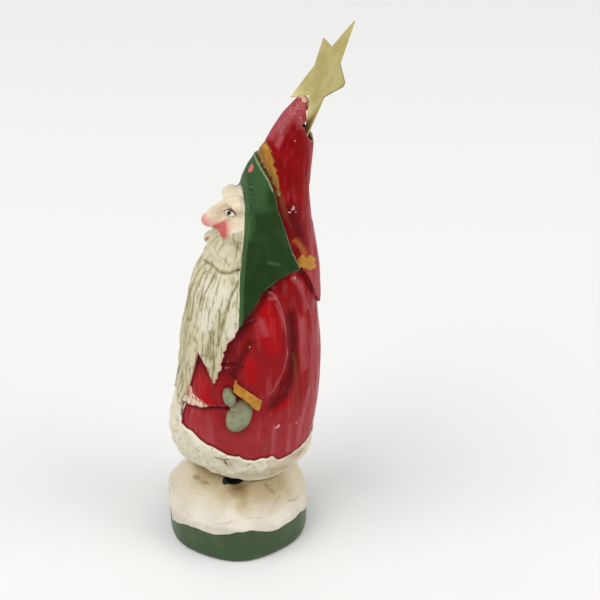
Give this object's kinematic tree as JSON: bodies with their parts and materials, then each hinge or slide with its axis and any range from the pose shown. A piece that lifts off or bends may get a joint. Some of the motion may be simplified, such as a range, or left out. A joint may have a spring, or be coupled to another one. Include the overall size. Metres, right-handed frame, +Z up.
{
  "type": "carved santa figurine on snow plinth",
  "caption": "Tall carved and painted wooden santa in a hooded robe on a round snow-topped plinth, with a thin sheet-brass star set in the broken tip of the hat.",
  "frame": {"origin": "centre of the plinth's underside, on the surface it stands on", "axes": "+Z up the figure; he faces -Y, and his left side is +X"},
  "size_m": [0.0594, 0.0787, 0.2113],
  "materials": {
    "painted_carving": "hand-painted and antiqued under satin varnish",
    "painted_plinth": "hand-painted snow over a satin green wall",
    "sheet_brass": "dull, lightly tarnished sheet"
  },
  "bodies": {
    "root": {"santa_figure": "painted_carving", "snow_plinth": "painted_plinth", "brass_star": "sheet_brass"}
  },
  "joints": []
}
